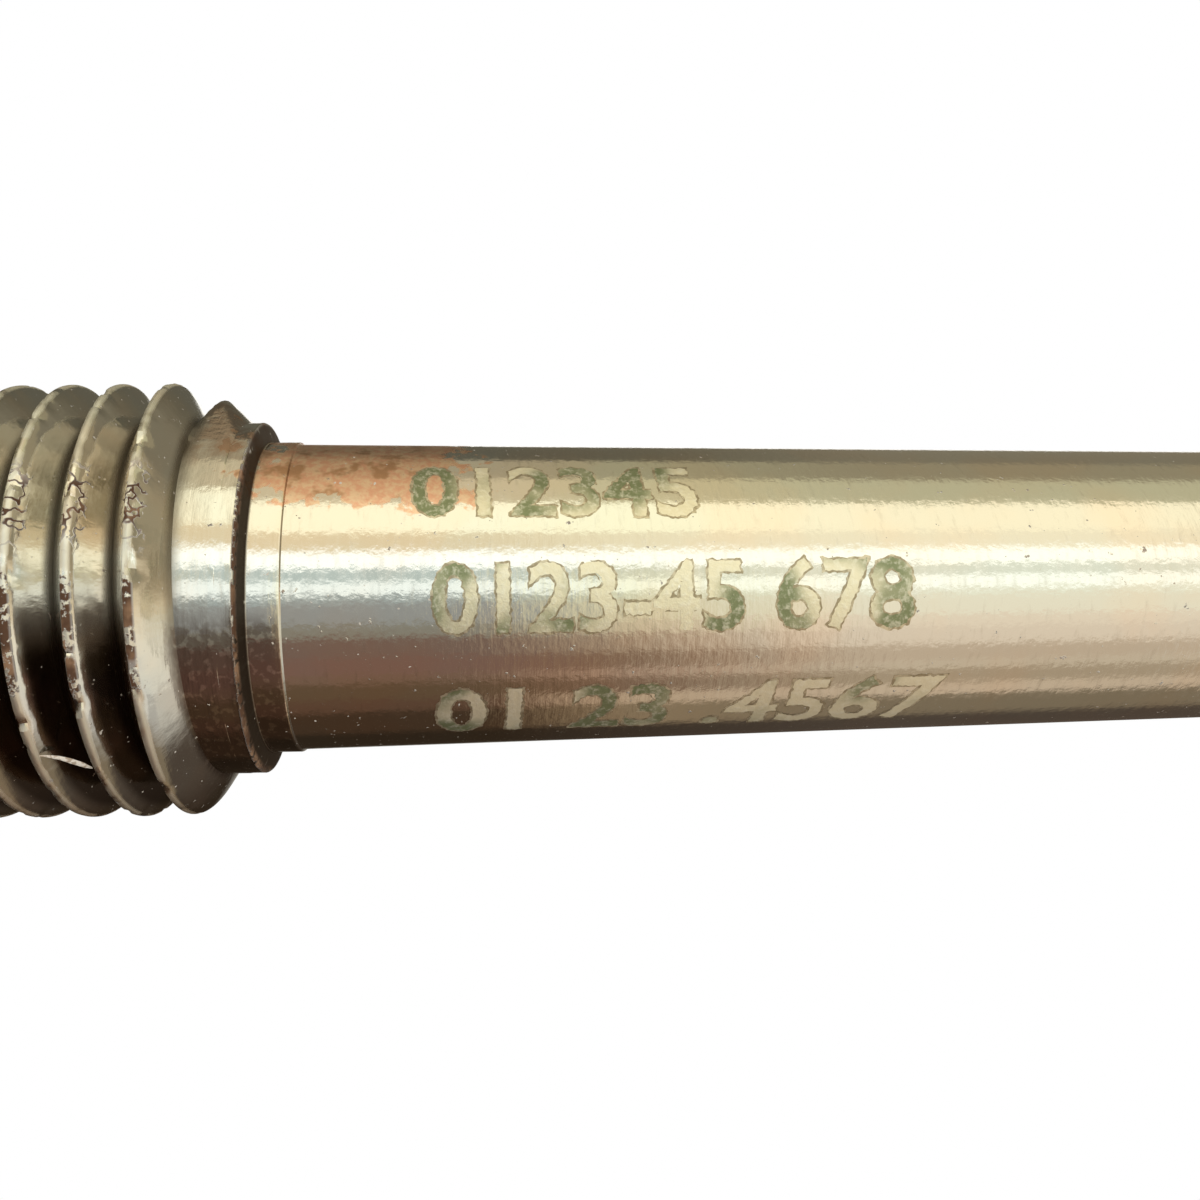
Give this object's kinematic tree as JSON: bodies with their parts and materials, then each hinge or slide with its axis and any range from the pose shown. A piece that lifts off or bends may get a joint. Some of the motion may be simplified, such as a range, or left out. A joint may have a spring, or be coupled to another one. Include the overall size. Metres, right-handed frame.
{
  "type": "thread plug gauge",
  "caption": "Thread plug gauge member: a ground steel threaded head with a land, shoulder and collar behind it, and a plain tapered shank that a handle grips.",
  "frame": {"origin": "centre of the entering face, the flat end of the threaded head", "axes": "+Z along the axis from the entering face to the small end of the shank, -Y towards the marked side of the shank"},
  "size_m": [0.0112, 0.0112, 0.0485],
  "materials": {
    "gauge_steel": "ground all round, light rust and brown stain"
  },
  "bodies": {
    "root": {"gauge_member": "gauge_steel"}
  },
  "joints": []
}
